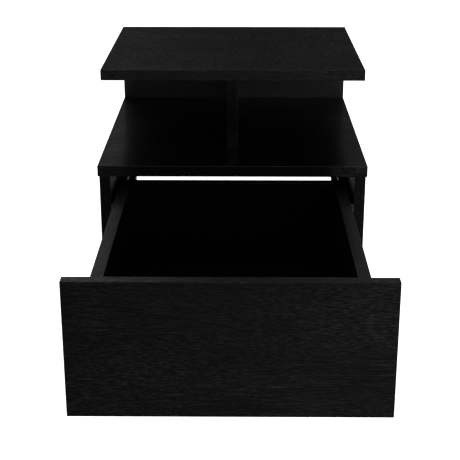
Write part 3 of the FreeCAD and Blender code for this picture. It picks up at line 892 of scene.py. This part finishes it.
# ---- the cabinet's sub-assemblies -----------------------------------------------------------------
@dataclass(frozen=True)
class Board:
    """One chipboard panel.

    It has a CAD node, the axis across it, the axis of its grain, its pattern's offset and its finishes.
    """

    node: str
    thickness: Axis
    grain: Axis
    seed: float
    wood: BlackWood = BlackWood()
    tape: EdgeTape = EdgeTape()

    def dress(self, effects: Effects) -> None:
        """Gives the panel and its taped edges their materials.

        Args:
            effects: the shared node groups.
        """
        edging = self.node + "_edging"
        block = Block.around(self.node, edging)
        name = self.node + "_wood"
        wood = self.wood.dress(name, effects, block, self.thickness, self.grain, self.seed)
        coat(self.node, wood)
        coat(edging, self.tape.dress(self.node + "_tape", effects, block, self.seed + 0.4))


COARSE_WOOD = BlackWood(
    pore_length=0.007, pore_width=0.0017, waviness=0.0006, relief=0.0002, film_in_pore=0.1
)
SHELF_WOOD = BlackWood(pore_width=0.0010, relief=0.00008, film_on_ridge=0.7, film_in_pore=0.2)
# Painted light: a lit copy of the black laminate, many times paler, so that the back panel in the bay shows
# as lit
PAINTED_LIGHT_WOOD = BlackWood(ground=grey(0.017, -0.06), ridge=grey(0.023, -0.06))
TOP_TAPE = EdgeTape(pore_width=0.0009, film_on_ridge=1.0, film_in_pore=0.36)
SHELF_TAPE = EdgeTape(pore_width=0.0012, film_on_ridge=1.0, film_in_pore=0.22)
QUIET_TAPE = EdgeTape(film_on_ridge=0.5, film_in_pore=0.24)
DULL_TAPE = EdgeTape(film_on_ridge=0.36, film_in_pore=0.12)


@dataclass
class Case:
    """The fixed part: boards, wall rail and their fittings."""

    effects: Effects
    boards: tuple[Board, ...] = (
        Board("top_board", Axis.Z, Axis.X, 0.0, COARSE_WOOD, TOP_TAPE),
        # The back panel wears the paler lit copy of the laminate, which is painted light
        Board("upper_back_panel", Axis.Y, Axis.X, 3.1, PAINTED_LIGHT_WOOD),
        Board("centre_divider", Axis.X, Axis.Y, 5.3),
        Board("middle_board", Axis.Z, Axis.X, 7.7, SHELF_WOOD, SHELF_TAPE),
        Board("case_side_left", Axis.X, Axis.Y, 9.2, BlackWood(), DULL_TAPE),
        Board("case_side_right", Axis.X, Axis.Y, 11.9, BlackWood(), DULL_TAPE),
        Board("bottom_panel", Axis.Z, Axis.X, 13.4),
        Board("wall_rail", Axis.Y, Axis.X, 15.8),
    )
    fittings: tuple[tuple[str, Finish], ...] = (
        ("case_cam_locks", Finish.CAM_ZINC),
        ("case_cam_bolts", Finish.SCREW_STEEL),
        ("case_dowels", Finish.BEECH),
        ("case_screws", Finish.SCREW_STEEL),
    )

    def build(self) -> None:
        """Dresses the boards and the fittings."""
        for board in self.boards:
            board.dress(self.effects)
        for node, finish in self.fittings:
            coat(node, finish.value.dress(node + "_finish", self.effects))


@dataclass
class Drawer:
    """The drawer box with its front, hardboard bottom, fittings and buffers."""

    effects: Effects
    boards: tuple[Board, ...] = (
        Board("drawer_front", Axis.Y, Axis.X, 21.3),
        Board("drawer_side_left", Axis.X, Axis.Y, 23.9, BlackWood(), QUIET_TAPE),
        Board("drawer_side_right", Axis.X, Axis.Y, 25.2, BlackWood(), QUIET_TAPE),
        Board("drawer_back", Axis.Y, Axis.X, 27.6),
    )
    fittings: tuple[tuple[str, Finish], ...] = (
        ("drawer_cam_locks", Finish.CAM_ZINC),
        ("drawer_cam_bolts", Finish.SCREW_STEEL),
        ("drawer_dowels", Finish.BEECH),
        ("drawer_back_screws", Finish.SCREW_STEEL),
        ("drawer_bottom_screws", Finish.SCREW_STEEL),
        ("drawer_front_buffers", Finish.BUFFER_RUBBER),
    )

    def build(self) -> None:
        """Dresses the boards, the bottom and the fittings."""
        for board in self.boards:
            board.dress(self.effects)
        coat("drawer_bottom", Hardboard().dress("drawer_bottom_hardboard", self.effects))
        for node, finish in self.fittings:
            coat(node, finish.value.dress(node + "_finish", self.effects))


@dataclass
class Slide:
    """One three-part ball-bearing slide with its cages, balls, lever, screws and race stops.

    sheet is the thickness of its steel. A race's insets are the sides of its stops, inwards from the
    member's outer face, and all sizes are in metres.
    """

    effects: Effects
    side: Side
    sheet: float = 0.0012
    outer_race_insets: Span = (0.0034, 0.0088)
    inner_race_insets: Span = (0.0015, 0.0062)
    parts: tuple[tuple[str, Finish], ...] = (
        # The three members take the steel darkened with painted shade
        ("slide_cabinet_member", Finish.SLIDE_STEEL),
        ("slide_middle_member", Finish.SLIDE_STEEL),
        ("slide_drawer_member", Finish.SLIDE_STEEL),
        ("slide_outer_ball_cage", Finish.CAGE_STEEL),
        ("slide_inner_ball_cage", Finish.CAGE_STEEL),
        ("slide_outer_balls", Finish.BALL_STEEL),
        ("slide_inner_balls", Finish.BALL_STEEL),
        ("slide_release_lever", Finish.LEVER_PLASTIC),
        ("slide_lever_rivet", Finish.SCREW_STEEL),
        ("slide_case_screws", Finish.SCREW_STEEL),
        ("slide_drawer_screws", Finish.SCREW_STEEL),
    )

    def build(self) -> None:
        """Dresses every part of the slide and ends its ball races."""
        for part, finish in self.parts:
            node = f"{part}_{self.side.value}"
            coat(node, finish.value.dress(node + "_finish", self.effects))
        self.end_races("slide_cabinet_member", "case", self.outer_race_insets)
        self.end_races("slide_middle_member", f"middle_member_{self.side.value}", self.inner_race_insets)

    def end_races(self, member: str, body: str, insets: Span) -> None:
        """Adds the pressed tongues at the front and the comb bumpers at the rear of one member.

        Args:
            member: the member's CAD node without its side.
            body: the body that the member belongs to.
            insets: sides of the stops, inwards from the member's outer face.
        """
        low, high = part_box(f"{member}_{self.side.value}")
        flanges = (low[2] + self.sheet, high[2] - self.sheet)
        outer_face = high[0] if self.side is Side.RIGHT else low[0]
        span = tuple(outer_face - self.side.sign * inset for inset in insets)
        kinds = (
            ("front_tongues", PRESSED_TONGUE, (low[1], 1.0), Finish.TONGUE_STEEL, "slide_steel"),
            ("rear_bumpers", COMB_BUMPER, (high[1], -1.0), Finish.LEVER_PLASTIC, "lever_plastic"),
        )
        for kind, stop, ends, finish, slot in kinds:
            name = f"{member}_{kind}_{self.side.value}"
            piece = stop.build(name, ends, flanges, span)
            piece.data.materials.append(finish.value.dress(name + "_finish", self.effects))
            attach(piece, body)
            LOG.info("built %s", name)


# ---- studio ---------------------------------------------------------------------------------------
# Fades of the surroundings along a direction: where each starts and ends, and its strength there
OVERHEAD: Fade = (0.14, 0.48, 0.003, 0.54)
LEFT_TO_RIGHT: Fade = (-0.28, 0.28, 1.6, 0.74)
MIDDLE_REACH: Span = (0.0, 0.15)
MIDDLE_DIM: Fade = (0.2, 0.4, 0.55, 0.15)
BELOW: Fade = (-0.32, -0.02, 0.18, 0.0)
FLANKS: Fade = (0.5, 0.9, 0.0, 0.36)
LOW_FRONT: Fade = (-0.45, 0.45, 0.11, 0.6)
BAND_RISE: Fade = (-0.05, 0.18, 0.0, 1.0)
BAND_FALL: Fade = (0.3, 0.5, 1.0, 0.0)
BAND_GAIN = 1.2
FRONT_SHARE: Fade = (-0.7, 0.1, 1.0, 0.0)
GLOW_TINT: Colour = (1.0, 0.97, 1.02, 1.0)


@dataclass
class Studio:
    """Pale floor, soft surrounding light, two lamps and the camera."""

    eye: Point = (0.0090, -1.8654, 0.5063)
    pitch: float = 0.3559
    yaw: float = 0.0083
    lens: float = 88.65
    sensor: float = 36.0
    clip: Span = (0.05, 100.0)
    floor_drop: float = 0.45
    floor_half: float = 20.0
    floor_shade: Colour = (0.9, 0.9, 0.9, 1.0)
    floor_light: Colour = (0.96, 0.96, 0.96, 1.0)
    floor_glow: float = 1.2

    def build(self) -> None:
        """Makes the floor, the light and the camera."""
        self.lay_floor()
        self.light()
        self.hang_lamp("overhead_softbox", (0.0, -0.5, 2.2), (0.0, -0.4, 0.0), (2.4, 1.6), 0.5)
        self.hang_lamp("front_softbox", (0.25, -2.5, 0.7), (0.0, -0.1, 0.1), (0.6, 0.42), 1.6)
        self.aim_camera()
        bpy.context.scene.view_settings.view_transform = "Standard"

    def lay_floor(self) -> None:
        """A plain pale sheet well below the hung cabinet, seen only by the camera."""
        low = CAD_BOX[0].z - self.floor_drop
        mesh = bpy.data.meshes.new("floor")
        half = self.floor_half
        corners = [(-half, -half, low), (half, -half, low), (half, half, low), (-half, half, low)]
        mesh.from_pydata(corners, [], [(0, 1, 2, 3)])
        floor = bpy.data.objects.new("floor", mesh)
        bpy.context.scene.collection.objects.link(floor)
        surface = Surface.named("pale_floor")
        bench = surface.bench
        tone = bench.noise(bench.add("TexCoord").outputs["Object"], 3.0).outputs["Fac"]
        surface.drive("Base Color", bench.mix(tone, self.floor_shade, self.floor_light))
        surface.drive("Emission Color", WHITE)
        surface.drive("Emission Strength", self.floor_glow)
        output = surface.material.node_tree.nodes["Material Output"]
        clear = bench.add("BsdfTransparent")
        either = bench.add("MixShader")
        bench.feed(either.inputs[0], bench.add("NewGeometry").outputs["Backfacing"])
        bench.feed(either.inputs[1], surface.shader.outputs[0])
        bench.feed(either.inputs[2], clear.outputs[0])
        bench.feed(output.inputs["Surface"], either.outputs[0])
        mesh.materials.append(surface.material)
        floor.visible_glossy = False
        floor.visible_diffuse = False
        floor.visible_shadow = False

    def light(self) -> None:
        """White seen directly, and a soft graded surrounding for the light on the cabinet."""
        world = bpy.data.worlds.new("studio")
        bpy.context.scene.world = world
        world.use_nodes = True
        bench = NodeBench(world.node_tree)
        toward = bench.add("SeparateXYZ")
        bench.feed(toward.inputs[0], bench.add("TexCoord").outputs["Generated"])
        x, y, z = toward.outputs
        sideways = bench.math("ABSOLUTE", x)
        upper = bench.math("MULTIPLY", bench.ramp(z, *OVERHEAD), bench.ramp(x, *LEFT_TO_RIGHT))
        between = bench.ramp(sideways, *MIDDLE_REACH, bench.ramp(z, *MIDDLE_DIM), 1.0)
        lower = bench.ramp(z, *BELOW)
        flanks = bench.ramp(sideways, *FLANKS)
        upper = bench.math("MULTIPLY", upper, between)
        around = bench.math("ADD", upper, bench.math("ADD", lower, flanks))
        low_front = bench.ramp(x, *LOW_FRONT)
        band = bench.math("MULTIPLY", bench.ramp(z, *BAND_RISE), bench.ramp(z, *BAND_FALL))
        ahead = bench.math("MULTIPLY", low_front, bench.math("MULTIPLY_ADD", band, BAND_GAIN, 1.0))
        glow = bench.mix(bench.ramp(y, *FRONT_SHARE), around, ahead, "FLOAT")
        seen = bench.add("LightPath").outputs["Is Camera Ray"]
        background = world.node_tree.nodes["Background"]
        bench.feed(background.inputs["Color"], bench.mix(seen, GLOW_TINT, WHITE))
        bench.feed(background.inputs["Strength"], bench.mix(seen, glow, 1.0, "FLOAT"))

    def hang_lamp(self, name: str, place: Point, target: Point, size: Span, power: float) -> None:
        """Hangs one soft rectangular lamp.

        Args:
            name: the lamp's name.
            place: its centre.
            target: the point that it faces.
            size: its two sides.
            power: watts.
        """
        lamp = bpy.data.lights.new(name, "AREA")
        lamp.shape = "RECTANGLE"
        lamp.size, lamp.size_y = size
        lamp.energy = power
        holder = bpy.data.objects.new(name, lamp)
        holder.location = place
        holder.rotation_euler = (Vector(target) - Vector(place)).to_track_quat("-Z", "Y").to_euler()
        bpy.context.scene.collection.objects.link(holder)

    def aim_camera(self) -> None:
        """Sets up the camera in front of the open drawer, looking down at it."""
        data = bpy.data.cameras.new("camera")
        data.lens = self.lens
        data.sensor_width = self.sensor
        data.clip_start, data.clip_end = self.clip
        camera = bpy.data.objects.new("camera", data)
        camera.location = self.eye
        camera.rotation_euler = (math.pi / 2 - self.pitch, 0.0, self.yaw)
        bpy.context.scene.collection.objects.link(camera)
        bpy.context.scene.camera = camera


def main() -> None:
    """Builds every sub-assembly in order, then the studio."""
    logging.basicConfig(level=logging.INFO, format="%(name)s: %(message)s")
    effects = Effects()
    Case(effects).build()
    Drawer(effects).build()
    for side in Side:
        Slide(effects, side).build()
    Studio().build()


if __name__ == "__main__":
    main()
